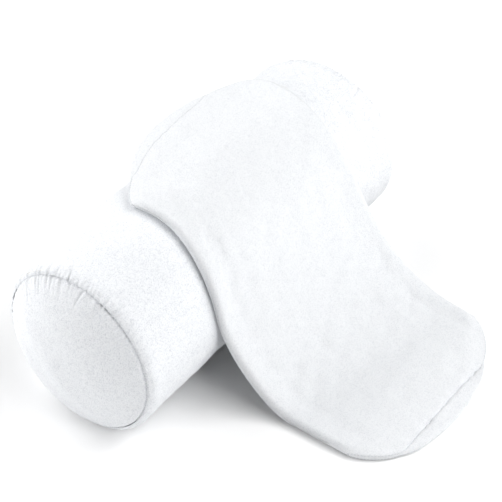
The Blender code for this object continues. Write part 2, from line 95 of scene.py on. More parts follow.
@dataclass(frozen=True)
class Gathers:
    """Row of small gathers pulled in by a seam.

    Attributes:
        pitch: Mean spacing along the seam, metres.
        depth: Mean depth beside the seam, metres.
        reach: Mean length away from the seam, metres.
        seed: Seed of their places and sizes.
    """

    pitch: float = 0.0068
    depth: float = 0.0009
    reach: float = 0.008
    seed: int = SEED

    def height(self, along: np.ndarray, away: np.ndarray, span: float, closed: bool,
               strength: Callable[[float], float]) -> np.ndarray:
        """Height of the gathers over a surface.

        Args:
            along: Distance along the seam, metres.
            away: Distance from the seam, metres.
            span: Length of the seam, metres.
            closed: True if the seam is a loop.
            strength: Strength of a gather at its distance along the seam.

        Returns:
            Heights in metres, mostly negative.
        """
        rng = np.random.default_rng(self.seed)
        total = np.zeros(np.broadcast(along, away).shape)
        count = int(span / self.pitch)
        for i in range(count):
            place = (i + rng.uniform(-0.32, 0.32)) * span / count
            width = self.pitch * rng.uniform(0.20, 0.36)
            depth = self.depth * rng.uniform(0.35, 1.5) * strength(place)
            reach = self.reach * rng.uniform(0.5, 1.7)
            lean = rng.uniform(-0.25, 0.25)
            off = along - place - lean * away
            if closed:
                off = (off + span / 2) % span - span / 2
            total = total - depth * np.exp(-(off / width) ** 2) * np.exp(-(away / reach) ** 1.3)
        return total


def grid_mesh(name: str, points: np.ndarray, wrap: bool, skip: Callable[[int, int], bool] | None = None,
              poles: Sequence[bool] = (False, False)) -> bpy.types.Object:
    """Make a quad mesh from rows of points.

    Args:
        name: Name of the object.
        points: Array of rows, columns and coordinates.
        wrap: True if each row closes on itself.
        skip: Tells, for a row and column, whether to leave that quad out.
        poles: Whether the first and last rows are single points.

    Returns:
        The new object, linked to the scene.
    """
    rows, cols = points.shape[:2]
    bm = bmesh.new()
    verts: list[list[bmesh.types.BMVert]] = []
    for j in range(rows):
        if (j == 0 and poles[0]) or (j == rows - 1 and poles[1]):
            verts.append([bm.verts.new(points[j, 0])] * cols)
        else:
            verts.append([bm.verts.new(p) for p in points[j]])
    for j in range(rows - 1):
        for i in range(cols if wrap else cols - 1):
            if skip and skip(j, i):
                continue
            n = (i + 1) % cols
            quad = list(dict.fromkeys((verts[j][i], verts[j][n], verts[j + 1][n], verts[j + 1][i])))
            if len(quad) > 2:
                bm.faces.new(quad)
    loose = [v for v in bm.verts if not v.link_faces]
    bmesh.ops.delete(bm, geom=loose, context="VERTS")
    bmesh.ops.recalc_face_normals(bm, faces=bm.faces)
    mesh = bpy.data.meshes.new(name)
    bm.to_mesh(mesh)
    bm.free()
    mesh.polygons.foreach_set("use_smooth", [True] * len(mesh.polygons))
    obj = bpy.data.objects.new(name, mesh)
    bpy.context.scene.collection.objects.link(obj)
    return obj


@dataclass(frozen=True)
class Settling:
    """Short cloth run over a coarse copy of a skin, from which the skin takes its final drift.

    Attributes:
        pressure: Push of the filling from inside.
        slack: Share by which the cloth is longer than the space it is sewn into.
        cap: Largest move of any point, metres.
        pitch: Spacing of the coarse copy, metres.
        frames: Length of the run.
        mass: Mass of each point of the copy, kilograms.
    """

    pressure: float = 4.0
    slack: float = 0.012
    cap: float = 0.0020
    pitch: float = 0.006
    frames: int = 20
    mass: float = 0.002

    def picks(self, points: np.ndarray, axis: int, wrap: bool) -> np.ndarray:
        """Rows or columns of the skin that the coarse copy uses.

        Args:
            points: Rows of points of the skin.
            axis: 0 for rows, 1 for columns.
            wrap: True if the axis closes on itself.

        Returns:
            Their indices.
        """
        gaps = np.linalg.norm(np.diff(points, axis=axis), axis=2).mean(axis=1 - axis)
        place = np.concatenate([[0.0], np.cumsum(gaps)])
        chosen = np.searchsorted(place, np.arange(0.0, place[-1] - 0.5 * self.pitch, self.pitch))
        return np.unique(chosen if wrap else np.concatenate([chosen, [len(place) - 1]]))

    @staticmethod
    def spread(coarse: np.ndarray, picks: np.ndarray, total: int, wrap: bool) -> np.ndarray:
        """Carry values from the coarse rows to all rows, smoothly.

        Args:
            coarse: Values at the picked rows.
            picks: Indices of those rows.
            total: Number of rows of the skin.
            wrap: True if the rows close on themselves.

        Returns:
            Values at every row.
        """
        count = len(picks)
        known = np.append(picks, total) if wrap else picks
        place = np.interp(np.arange(total), known, np.arange(len(known)))
        out = np.zeros((total, *coarse.shape[1:]))
        offsets = (-0.6, -0.3, 0.0, 0.3, 0.6)
        for offset in offsets:
            at = place + offset if wrap else np.clip(place + offset, 0, count - 1)
            low = np.floor(at).astype(int)
            part = (at - low).reshape(-1, *[1] * (coarse.ndim - 1))
            high = (low + 1) % count if wrap else np.minimum(low + 1, count - 1)
            out += (coarse[low % count] * (1 - part) + coarse[high] * part) / len(offsets)
        return out

    def drift(self, points: np.ndarray, wrap: bool, free: np.ndarray,
              outward: Vector | None = None) -> np.ndarray:
        """Run the cloth and find how far each point of the skin drifts.

        Args:
            points: Rows of points of the skin.
            wrap: True if each row closes on itself.
            free: Share of the drift that each point keeps; the cloth is pinned where it is zero.
            outward: Direction that a sheet is pushed in; a tube is pushed away from its middle.

        Returns:
            Moves of all points.
        """
        rows, cols = self.picks(points, 0, False), self.picks(points, 1, wrap)
        coarse = points[np.ix_(rows, cols)]
        obj = grid_mesh("settling", coarse, wrap)
        middle = Vector(coarse.reshape(-1, 3).mean(axis=0))
        facing = sum(face.normal.dot(outward or (face.center - middle).normalized())
                     for face in obj.data.polygons)
        if facing < 0:
            obj.data.flip_normals()
        pins = obj.vertex_groups.new(name="pins")
        pins.add([int(i) for i in np.flatnonzero(free[np.ix_(rows, cols)].ravel() < 0.02)], 1.0, "REPLACE")
        cloth = obj.modifiers.new("cloth", "CLOTH")
        cloth.settings.quality = 6
        cloth.settings.mass = self.mass
        cloth.settings.vertex_group_mass = "pins"
        cloth.settings.use_pressure = True
        cloth.settings.uniform_pressure_force = self.pressure
        cloth.settings.shrink_min = -self.slack
        cloth.settings.effector_weights.gravity = 0.0
        cloth.collision_settings.use_collision = False
        cloth.point_cache.frame_start, cloth.point_cache.frame_end = 1, self.frames
        scene = bpy.context.scene
        for frame_number in range(1, self.frames + 1):
            scene.frame_set(frame_number)
        settled = obj.evaluated_get(bpy.context.evaluated_depsgraph_get()).data
        ends = np.zeros(len(settled.vertices) * 3)
        settled.vertices.foreach_get("co", ends)
        mesh = obj.data
        bpy.data.objects.remove(obj)
        bpy.data.meshes.remove(mesh)
        scene.frame_set(1)
        move = ends.reshape(coarse.shape) - coarse
        size = np.linalg.norm(move, axis=2, keepdims=True)
        LOG.info("settled %d points, mean drift %.2f mm", size.size, size.mean() * 1000)
        move *= np.minimum(1.0, self.cap / np.maximum(size, 1e-9))
        wide = self.spread(move.transpose(1, 0, 2), cols, points.shape[1], wrap).transpose(1, 0, 2)
        return self.spread(wide, rows, points.shape[0], False) * free[..., None]


def stitch_row(name: str, places: Sequence[tuple[Vector, Vector]], length: float,
               thick: float) -> bpy.types.Object:
    """Make a row of short stitches as one piece.

    Args:
        name: Name of the piece.
        places: Middle and direction of each stitch.
        length: Length of a stitch, metres.
        thick: Half its thickness, metres.

    Returns:
        The row.
    """
    bm = bmesh.new()
    for middle, flow in places:
        put = (Matrix.Translation(middle) @ flow.to_track_quat("Z", "X").to_matrix().to_4x4()
               @ Matrix.Diagonal((1, 1, length / thick / 2, 1)))
        bmesh.ops.create_uvsphere(bm, u_segments=6, v_segments=4, radius=thick, matrix=put)
    mesh = bpy.data.meshes.new(name)
    bm.to_mesh(mesh)
    bm.free()
    mesh.polygons.foreach_set("use_smooth", [True] * len(mesh.polygons))
    obj = bpy.data.objects.new(name, mesh)
    bpy.context.scene.collection.objects.link(obj)
    return obj


# ---- finishes --------------------------------------------------------------------
class Effect(Enum):
    """Shader effects that are built once and shared between materials."""

    PILE = "pile_grain"
    WEAVE = "weave"
    TWIST = "thread_twist"
    CELLS = "foam_cells"
    SCUFF = "metal_scuff"


class NodeKit:
    """Builds node groups and finds them again."""

    @staticmethod
    def group(effect: Effect, inputs: dict[str, float], outputs: Sequence[str]) -> tuple:
        """Start a node group with named sockets.

        Args:
            effect: The effect that the group makes.
            inputs: Names and default values of its inputs.
            outputs: Names of its outputs.

        Returns:
            The group, its input node and its output node.
        """
        tree = bpy.data.node_groups.new(effect.value, "ShaderNodeTree")
        for name, value in inputs.items():
            socket = tree.interface.new_socket(name=name, in_out="INPUT", socket_type="NodeSocketFloat")
            socket.default_value = value
        for name in outputs:
            tree.interface.new_socket(name=name, in_out="OUTPUT", socket_type="NodeSocketFloat")
        return tree, tree.nodes.new("NodeGroupInput"), tree.nodes.new("NodeGroupOutput")

    @staticmethod
    def maths(tree: bpy.types.NodeTree, how: str, *values) -> bpy.types.NodeSocket:
        """Add a Math node.

        Args:
            tree: Tree to add it to.
            how: Operation.
            values: Numbers or sockets that feed it.

        Returns:
            Its output socket.
        """
        node = tree.nodes.new("ShaderNodeMath")
        node.operation = how
        for socket, value in zip(node.inputs, values):
            if isinstance(value, (int, float)):
                socket.default_value = value
            else:
                tree.links.new(value, socket)
        return node.outputs[0]

    @staticmethod
    def noise(tree: bpy.types.NodeTree, scale, detail: float, vector=None,
              rough: float = 0.5) -> bpy.types.NodeSocket:
        """Add a Noise texture in object space.

        Args:
            tree: Tree to add it to.
            scale: Number or socket, per metre.
            detail: Octaves.
            vector: Coordinates, or None for object coordinates.
            rough: Roughness of the octaves.

        Returns:
            The Fac output.
        """
        node = tree.nodes.new("ShaderNodeTexNoise")
        node.inputs["Detail"].default_value = detail
        node.inputs["Roughness"].default_value = rough
        if isinstance(scale, (int, float)):
            node.inputs["Scale"].default_value = scale
        else:
            tree.links.new(scale, node.inputs["Scale"])
        if vector is None:
            vector = tree.nodes.new("ShaderNodeTexCoord").outputs["Object"]
        tree.links.new(vector, node.inputs["Vector"])
        return node.outputs["Fac"]


class Effects:
    """The shared node groups."""

    def __init__(self) -> None:
        """Build every group once."""
        self.pile = self._pile()
        self.weave = self._weave()
        self.twist = self._twist()
        self.cells = self._cells()
        self.scuff = self._scuff()

    @staticmethod
    def _pile() -> bpy.types.NodeTree:
        """Short brushed pile: fine tufts, small clumps and broad brushed patches.

        Returns:
            The group, with outputs Height and Shade.
        """
        tree, inp, out = NodeKit.group(Effect.PILE, {"Tufts": 560.0, "Clumps": 210.0, "Patches": 26.0},
                                       ("Height", "Shade"))
        tufts = NodeKit.noise(tree, inp.outputs["Tufts"], 2.0, rough=0.7)
        clumps = NodeKit.noise(tree, inp.outputs["Clumps"], 3.0, rough=0.6)
        patches = NodeKit.noise(tree, inp.outputs["Patches"], 2.0)
        low = NodeKit.maths(tree, "MULTIPLY", clumps, 0.55)
        height = NodeKit.maths(tree, "ADD", NodeKit.maths(tree, "MULTIPLY", tufts, 0.6), low)
        broad = NodeKit.maths(tree, "MULTIPLY", patches, 0.5)
        height = NodeKit.maths(tree, "ADD", height, broad)
        # painted shade: Shade follows the tufts, so the colour gets dark specks where the pile is low
        shade = NodeKit.maths(tree, "ADD", NodeKit.maths(tree, "MULTIPLY", tufts, 0.8),
                              NodeKit.maths(tree, "MULTIPLY", clumps, 0.2))
        tree.links.new(height, out.inputs["Height"])
        tree.links.new(shade, out.inputs["Shade"])
        return tree

    @staticmethod
    def _weave() -> bpy.types.NodeTree:
        """Plain weave of crossing yarns.

        Returns:
            The group, with outputs Height and Shade.
        """
        tree, inp, out = NodeKit.group(Effect.WEAVE, {"Yarns": 1400.0}, ("Height", "Shade"))
        coord = tree.nodes.new("ShaderNodeTexCoord")
        split = tree.nodes.new("ShaderNodeSeparateXYZ")
        tree.links.new(coord.outputs["Object"], split.inputs[0])
        across = NodeKit.maths(tree, "MULTIPLY", split.outputs["X"], inp.outputs["Yarns"])
        round_ = NodeKit.maths(tree, "MULTIPLY", NodeKit.maths(
            tree, "ADD", split.outputs["Y"], split.outputs["Z"]), inp.outputs["Yarns"])
        warp = NodeKit.maths(tree, "SINE", across)
        weft = NodeKit.maths(tree, "SINE", round_)
        height = NodeKit.maths(tree, "ABSOLUTE", NodeKit.maths(tree, "MULTIPLY", warp, weft))
        grain = NodeKit.noise(tree, 900.0, 2.0)
        shade = NodeKit.maths(tree, "MULTIPLY", NodeKit.maths(tree, "ADD", height, grain), 0.5)
        tree.links.new(height, out.inputs["Height"])
        tree.links.new(shade, out.inputs["Shade"])
        return tree

    @staticmethod
    def _twist() -> bpy.types.NodeTree:
        """Twisted plies of a sewing thread.

        Returns:
            The group, with outputs Height and Shade.
        """
        tree, inp, out = NodeKit.group(Effect.TWIST, {"Turns": 5200.0}, ("Height", "Shade"))
        coord = tree.nodes.new("ShaderNodeTexCoord")
        split = tree.nodes.new("ShaderNodeSeparateXYZ")
        tree.links.new(coord.outputs["Object"], split.inputs[0])
        total = NodeKit.maths(tree, "ADD", split.outputs["X"], NodeKit.maths(
            tree, "ADD", split.outputs["Y"], split.outputs["Z"]))
        wave = NodeKit.maths(tree, "SINE", NodeKit.maths(tree, "MULTIPLY", total, inp.outputs["Turns"]))
        height = NodeKit.maths(tree, "ABSOLUTE", wave)
        tree.links.new(height, out.inputs["Height"])
        tree.links.new(NodeKit.maths(tree, "MULTIPLY", NodeKit.maths(
            tree, "ADD", height, NodeKit.noise(tree, 2500.0, 1.0)), 0.5), out.inputs["Shade"])
        return tree

    @staticmethod
    def _cells() -> bpy.types.NodeTree:
        """Open cells of a soft foam, or the loose curls of a fibre wrap.

        Returns:
            The group, with outputs Height and Shade.
        """
        tree, inp, out = NodeKit.group(Effect.CELLS, {"Cells": 700.0}, ("Height", "Shade"))
        cells = tree.nodes.new("ShaderNodeTexVoronoi")
        coord = tree.nodes.new("ShaderNodeTexCoord")
        tree.links.new(coord.outputs["Object"], cells.inputs["Vector"])
        tree.links.new(inp.outputs["Cells"], cells.inputs["Scale"])
        grain = NodeKit.noise(tree, 260.0, 3.0)
        tree.links.new(cells.outputs["Distance"], out.inputs["Height"])
        tree.links.new(NodeKit.maths(tree, "MULTIPLY", NodeKit.maths(
            tree, "ADD", cells.outputs["Distance"], grain), 0.5), out.inputs["Shade"])
        return tree

    @staticmethod
    def _scuff() -> bpy.types.NodeTree:
        """Fine rubbing marks on small cast metal or nylon.

        Returns:
            The group, with outputs Height and Shade.
        """
        tree, inp, out = NodeKit.group(Effect.SCUFF, {"Marks": 1600.0}, ("Height", "Shade"))
        coord = tree.nodes.new("ShaderNodeTexCoord")
        stretch = tree.nodes.new("ShaderNodeMapping")
        stretch.inputs["Scale"].default_value = (0.12, 1.0, 1.0)
        tree.links.new(coord.outputs["Object"], stretch.inputs["Vector"])
        marks = NodeKit.noise(tree, inp.outputs["Marks"], 3.0, stretch.outputs[0], 0.65)
        tree.links.new(marks, out.inputs["Height"])
        tree.links.new(NodeKit.maths(tree, "MULTIPLY", NodeKit.maths(
            tree, "ADD", marks, NodeKit.noise(tree, 500.0, 2.0)), 0.5), out.inputs["Shade"])
        return tree


@dataclass(frozen=True)
class Finish:
    """One surface finish.

    Attributes:
        name: Name of the material.
        dark: Colour in the recesses of the relief, painted shade of its hollows.
        light: Colour on the raised parts.
        effect: Attribute of Effects that gives its relief.
        relief: Depth of the relief, metres.
        rough: Lowest and highest roughness.
        window: Values of the effect that give the dark colour of the painted hollow shade and the light
            colour.
        sheen: Strength of the soft rim of a pile.
        settings: Input values of the effect's group.
    """

    name: str
    dark: tuple[float, float, float]
    light: tuple[float, float, float]
    effect: str
    relief: float
    rough: tuple[float, float]
    sheen: float = 0.0
    settings: dict[str, float] = field(default_factory=dict)
    window: tuple[float, float] = (0.30, 0.70)

    def build(self, effects: Effects) -> bpy.types.Material:
        """Make the material.

        Args:
            effects: The shared node groups.

        Returns:
            The new material.
        """
        mat = bpy.data.materials.new(self.name)
        mat.use_nodes = True
        tree = mat.node_tree
        shader = next(n for n in tree.nodes if n.type == "BSDF_PRINCIPLED")
        shader.inputs["Sheen Weight"].default_value = self.sheen
        shader.inputs["Sheen Roughness"].default_value = 0.45
        shader.inputs["Specular IOR Level"].default_value = 0.18
        relief = tree.nodes.new("ShaderNodeGroup")
        relief.node_tree = getattr(effects, self.effect)
        for name, value in self.settings.items():
            relief.inputs[name].default_value = value
        # painted shade: the base colour turns to the dark colour where the relief is low, shading its hollows
        # in the colour
        colour = tree.nodes.new("ShaderNodeMix")
        colour.data_type = "RGBA"
        colour.inputs["A"].default_value = (*self.dark, 1.0)
        colour.inputs["B"].default_value = (*self.light, 1.0)
        spread = tree.nodes.new("ShaderNodeMapRange")
        spread.inputs["From Min"].default_value, spread.inputs["From Max"].default_value = self.window
        tree.links.new(relief.outputs["Shade"], spread.inputs["Value"])
        tree.links.new(spread.outputs["Result"], colour.inputs["Factor"])
        tree.links.new(colour.outputs["Result"], shader.inputs["Base Color"])
        rough = tree.nodes.new("ShaderNodeMapRange")
        rough.inputs["To Min"].default_value, rough.inputs["To Max"].default_value = self.rough
        tree.links.new(relief.outputs["Shade"], rough.inputs["Value"])
        tree.links.new(rough.outputs["Result"], shader.inputs["Roughness"])
        bump = tree.nodes.new("ShaderNodeBump")
        bump.inputs["Strength"].default_value = 1.0
        bump.inputs["Distance"].default_value = self.relief
        tree.links.new(relief.outputs["Height"], bump.inputs["Height"])
        tree.links.new(bump.outputs["Normal"], shader.inputs["Normal"])
        return mat


class Palette:
    """Every material of the object, built once."""

    # painted shade: the dark colour and window of both plush finishes give sparse dark specks between the
    # tufts
    PLUSH = Finish("plush_pile", (0.62, 0.64, 0.68), (0.855, 0.87, 0.89), "pile", 0.0013,
                   (0.9, 1.0), sheen=0.25, window=(0.30, 0.53), settings={"Tufts": 760.0})
    # painted shade: the spare cover is the same plush as the roll, but its light colour is darker, for the
    # shade over the drape
    SPARE = Finish("plush_pile_spare_painted_shade", (0.62, 0.64, 0.67), (0.79, 0.803, 0.82), "pile", 0.0010,
                   (0.9, 1.0), sheen=0.25, window=(0.28, 0.52), settings={"Tufts": 820.0})
    # painted shade: the thread is white like the cover, but its colour is made darker to stand in for the
    # shade in the seam groove
    THREAD = Finish("sewing_thread_painted_shade", (0.50, 0.52, 0.56), (0.68, 0.70, 0.73), "twist", 0.0002, (0.6, 0.8))
    TAPE = Finish("zip_tape", (0.70, 0.71, 0.74), (0.84, 0.85, 0.87), "weave", 0.00025, (0.75, 0.9))
    LINER = Finish("liner_weave", (0.76, 0.77, 0.78), (0.86, 0.86, 0.87), "weave", 0.0002, (0.75, 0.9),
                   settings={"Yarns": 1900.0})
    FOAM = Finish("foam", (0.66, 0.62, 0.42), (0.84, 0.81, 0.66), "cells", 0.0008, (0.85, 1.0))
    FIBRE = Finish("fibre_wrap", (0.80, 0.80, 0.79), (0.93, 0.93, 0.92), "cells", 0.0015, (0.9, 1.0),
                   sheen=0.2, settings={"Cells": 240.0})
    NYLON = Finish("zip_nylon", (0.70, 0.71, 0.73), (0.80, 0.81, 0.83), "scuff", 0.00004, (0.3, 0.5))
    ENAMEL = Finish("zip_white_enamel", (0.70, 0.71, 0.72), (0.86, 0.865, 0.87), "scuff", 0.00006,
                    (0.22, 0.42))

    def __init__(self) -> None:
        """Build the groups and the materials."""
        effects = Effects()
        self.made = {key: value.build(effects) for key, value in vars(Palette).items()
                     if isinstance(value, Finish)}

    def wear(self, obj: bpy.types.Object, key: str) -> bpy.types.Object:
        """Give an object one of the materials.

        Args:
            obj: Object to dress.
            key: Name of the finish on this class.

        Returns:
            The same object.
        """
        if obj.data.materials:
            for i in range(len(obj.data.materials)):
                obj.data.materials[i] = self.made[key]
        else:
            obj.data.materials.append(self.made[key])
        return obj


# ---- the filled roll -------------------------------------------------------------
@dataclass(frozen=True)
class Rim:
    """Seam line at one end of the roll: a ring that leans a little and is smaller than the roll.

    Attributes:
        middle: Distance of the ring's centre from the middle of the roll, metres.
        lean_side: How far its +Y side comes nearer to the middle, metres.
        lean_low: How far its lowest point goes further from the middle, metres.
        radius: Radius of the ring, metres.
        offset: Shift of the ring along Y, metres.
    """

    middle: float
    lean_side: float
    lean_low: float
    radius: float
    offset: float

    def reach(self, turn: np.ndarray) -> np.ndarray:
        """Distance of the seam from the middle of the roll.

        Args:
            turn: Angle from the lowest line towards +Y.

        Returns:
            Distances along the roll.
        """
        return self.middle - self.lean_side * np.sin(turn) + self.lean_low * np.cos(turn)


@dataclass
class Roll:
    """Skin of the filled roll: a sleeve, two end panels and the stitches between them."""

    radius: float = 0.100
    dome: float = 0.0255
    pressed: float = 0.968
    groove: float = 0.0017
    shoulder: float = 0.020
    zip_turn: float = math.radians(57.0)
    zip_half_width: float = 0.0035
    zip_x: tuple[float, float] = (-0.1315, 0.2085)
    around: int = 560
    rims: dict[int, Rim] = field(default_factory=lambda: {
        -1: Rim(0.2274, 0.0030, 0.0038, 0.0945, -0.0024),
        1: Rim(0.2300, 0.0015, 0.0015, 0.0950, 0.0)})

    def place(self, x: np.ndarray, radius: np.ndarray, turn: np.ndarray, offset: np.ndarray) -> np.ndarray:
        """Points of the skin, with the underside pressed flat by the floor.

        Args:
            x: Distance along the roll.
            radius: Distance from its axis.
            turn: Angle from the lowest line towards +Y.
            offset: Shift along Y.

        Returns:
            Array of points.
        """
        y, z = radius * np.sin(turn) + offset, -radius * np.cos(turn)
        floor, soft = -self.pressed * self.radius, 0.0008
        z = floor + soft * np.logaddexp(0, (z - floor) / soft)
        return np.stack([np.broadcast_to(x, y.shape), y, z - floor], axis=-1)

    @staticmethod
    def pull(turn: float) -> float:
        """Strength of the gathers round an end seam: strong over the top, weak below.

        Args:
            turn: Angle from the lowest line towards +Y.

        Returns:
            A factor of 0.25 to 2.
        """
        over = 0.5 + 0.5 * math.cos(turn - 2.8)
        return 0.25 + 1.75 * over ** 2.5

    def gathers(self, side: int, depth: float, reach: float) -> Gathers:
        """Gathers at one end seam, with the same pitch and seed for the sleeve and the panel.

        Args:
            side: -1 for the near end, 1 for the far one.
            depth: Mean depth, metres.
            reach: Mean length, metres.

        Returns:
            The row of gathers.
        """
        return Gathers(pitch=0.0063, depth=depth, reach=reach, seed=SEED + side)

    def sleeve(self) -> bpy.types.Object:
        """The long sleeve, with a slit for its zip and gathers at both seams.

        Returns:
            The sleeve.
        """
        steps = np.concatenate([[0.0], np.geomspace(0.0005, 0.060, 44)])
        share = np.linspace(-1, 1, 44)[1:-1]
        turn = np.arange(self.around) / self.around * 2 * math.pi
        left, right = -self.rims[-1].reach(turn), self.rims[1].reach(turn)
        near = left[None] + steps[:, None]
        far = (right[None] - steps[:, None])[::-1]
        middle = near[-1] + (far[0] - near[-1]) * (share[:, None] + 1) / 2
        rows = np.concatenate([near, middle, far])
        cols = np.broadcast_to(turn[None], rows.shape)
        radius = np.full(rows.shape, self.radius)
        offset = np.zeros(rows.shape)
        length = 2 * math.pi * self.radius
        for side, away in ((-1, rows - left[None]), (1, right[None] - rows)):
            rim = self.rims[side]
            bulge = np.sqrt(np.clip(1 - (1 - np.clip(away / self.shoulder, 0, 1)) ** 2.2, 0, 1))
            radius -= (self.radius - rim.radius) * (1 - bulge)
            radius -= self.groove * (1 - smooth_step(0.0, 0.0016, away))
            offset += rim.offset * (1 - smooth_step(0.0, 0.03, away))
            row = self.gathers(side, 0.0019, 0.0080)
            radius += row.height(cols * self.radius, away, length, True,
                                 lambda s: self.pull(s / self.radius)) * (away < 0.08)
        free = smooth_step(0.25, 0.6, cols) * smooth_step(0.25, 0.6, 2 * math.pi - cols)
        radius += free * 0.0006 * ripples(rows, cols * self.radius, 0.085, SEED + 5)
        radius += free * 0.00022 * ripples(rows, cols * self.radius, 0.020, SEED + 6)
        across = (cols - self.zip_turn) * self.radius
        inside = (smooth_step(self.zip_x[0] - 0.006, self.zip_x[0] + 0.002, rows)
                  * (1 - smooth_step(self.zip_x[1] - 0.002, self.zip_x[1] + 0.006, rows)))
        lip = np.exp(-np.maximum(np.abs(across) - self.zip_half_width, 0.0) ** 2 / 0.0016 ** 2)
        radius -= inside * (0.0016 * lip + 0.0004 * np.exp(-((np.abs(across) - 0.009) / 0.0012) ** 2))
        points = self.place(rows, radius, cols, offset)
        bound = smooth_step(0.0, 0.014, rows - left[None]) * smooth_step(0.0, 0.014, right[None] - rows)
        bound = bound * free * smooth_step(0.008, 0.022, np.abs(across))
        points += Settling(slack=0.010, cap=0.0016).drift(points, True, bound)
        mid_x = (rows[:-1] + rows[1:]) / 2
        turn_mid = turn + math.pi / self.around
        slit = ((mid_x > self.zip_x[0]) & (mid_x < self.zip_x[1])
                & (np.abs(turn_mid - self.zip_turn) * self.radius < self.zip_half_width)[None])
        return grid_mesh("roll_sleeve", points, True, lambda j, i: bool(slit[j, i]))

    def end_panel(self, name: str, side: int) -> bpy.types.Object:
        """One domed end panel with short gathers along its seam.

        Args:
            name: Name of the piece.
            side: -1 for the near end, 1 for the far one.

        Returns:
            The panel.
        """
        rim = self.rims[side]
        edge = rim.radius - self.groove
        share = np.concatenate([[0.0], np.linspace(0.03, 0.78, 26), 1 - np.geomspace(0.21, 0.004, 34), [1.0]])
        turn = np.arange(self.around) / self.around * 2 * math.pi
        rows, cols = np.meshgrid(share, turn, indexing="ij")
        away = (1 - rows) * edge
        rise = self.dome * (1 - rows ** 2.3) + self.groove * (smooth_step(0.0, 0.0020, away) - 1)
        row = self.gathers(side, 0.0018, 0.0075)
        rise += row.height(cols * edge, away, 2 * math.pi * edge, True, lambda s: self.pull(s / edge))
        rise += smooth_step(0.0, 0.02, away) * 0.0007 * ripples(
            rows * edge * np.cos(cols), rows * edge * np.sin(cols), 0.06, SEED + 8 + side)
        seam = rim.middle + (rim.reach(cols) - rim.middle) * rows
        radius = rows * edge + self.groove * smooth_step(0.0, 0.0045, away) * np.exp(-away / 0.012)
        points = self.place(side * (seam + rise), radius, cols, np.full(rows.shape, rim.offset))
        points[..., 0] = side * (seam + rise + self.groove * 0.5)
        bound = smooth_step(0.0, 0.014, away) * smooth_step(0.02, 0.14, rows)
        points += Settling(slack=0.006, cap=0.0010).drift(points, True, bound, Vector((side, 0, 0)))
        return grid_mesh(name, points, True, poles=(True, False))

    def lining(self, name: str, inset: float) -> bpy.types.Object:
        """Plain inner sleeve that follows the outer one.

        Args:
            name: Name of the piece.
            inset: Distance inside the outer sleeve, metres.

        Returns:
            The inner sleeve.
        """
        turn = np.arange(180) / 180 * 2 * math.pi
        left = -self.rims[-1].reach(turn) + inset
        right = self.rims[1].reach(turn) - inset
        share = np.concatenate([[0.0, 0.004, 0.012, 0.025], np.linspace(0.045, 0.955, 24),
                                [0.975, 0.988, 0.996, 1.0]])
        rows = left[None] + (right - left)[None] * share[:, None]
        edge = np.minimum(rows - left[None], right[None] - rows)
        tuck = 0.0075 * (1 - np.sqrt(np.clip(1 - (1 - np.clip(edge / 0.02, 0, 1)) ** 2, 0, 1)))
        radius = self.radius - inset - tuck - 0.0012
        cols = np.broadcast_to(turn[None], rows.shape)
        points = self.place(rows, radius, cols, np.zeros(rows.shape))
        points[..., 2] = np.maximum(points[..., 2], inset)
        return grid_mesh(name, points, True)

    def inner_dome(self, name: str, side: int, inset: float, depth: float) -> bpy.types.Object:
        """Domed inner layer at one end, closed at the back where it has depth.

        Args:
            name: Name of the piece.
            side: -1 for the near end, 1 for the far one.
            inset: Distance inside the outer panel, metres.
            depth: Thickness at the rim, or 0 for a single cloth, metres.

        Returns:
            The inner layer.
        """
        rim = self.rims[side]
        edge = rim.radius - self.groove - inset
        turn = np.arange(180) / 180 * 2 * math.pi
        share = np.concatenate([[0.0], np.linspace(0.06, 1.0, 24)])
        rows, cols = np.meshgrid(share, turn, indexing="ij")
        rise = self.dome * (1 - rows ** 2.3) - inset
        reach = rim.middle + (rim.reach(cols) - rim.middle) * rows
        front = self.place(side * (reach + rise), rows * edge, cols, np.full(rows.shape, rim.offset))
        front[..., 0] = side * (reach + rise)
        if depth:
            back = front[::-1].copy()
            back[..., 0] = side * (rim.middle - inset - depth)
            front = np.concatenate([front, back])
        front[..., 2] = np.maximum(front[..., 2], inset)
        return grid_mesh(name, front, True, poles=(True, bool(depth)))

    def stitches(self, name: str, side: int) -> bpy.types.Object:
        """Short stitches that lie in the groove of an end seam.

        Args:
            name: Name of the piece.
            side: -1 for the near end, 1 for the far one.

        Returns:
            All stitches of that seam as one piece.
        """
        pitch, length, thick = 0.0032, 0.0023, 0.00032
        rim = self.rims[side]
        ring = rim.radius - self.groove + thick * 1.3
        count = int(2 * math.pi * ring / pitch)
        places = []
        for i in range(count):
            turn = (i + 0.5) / count * 2 * math.pi
            reach = float(rim.reach(np.array(turn))) + 0.0003
            spot = self.place(np.array(side * reach), np.array(ring), np.array(turn), np.array(rim.offset))
            places.append((Vector(spot), Vector((0.0, math.cos(turn), math.sin(turn)))))
        return stitch_row(name, places, length, thick)

    def build(self, palette: Palette) -> None:
        """Make every piece and hand it to the frame.

        Args:
            palette: The materials.
        """
        sleeve = palette.wear(self.sleeve(), "PLUSH")
        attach(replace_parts(sleeve, "cover_sleeve"), "bolster")
        LOG.info("roll sleeve: %d faces", len(sleeve.data.polygons))
        for end, side in (("near", -1), ("far", 1)):
            panel = palette.wear(self.end_panel(f"roll_end_{end}", side), "PLUSH")
            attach(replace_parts(panel, f"cover_end_{end}"), "bolster")
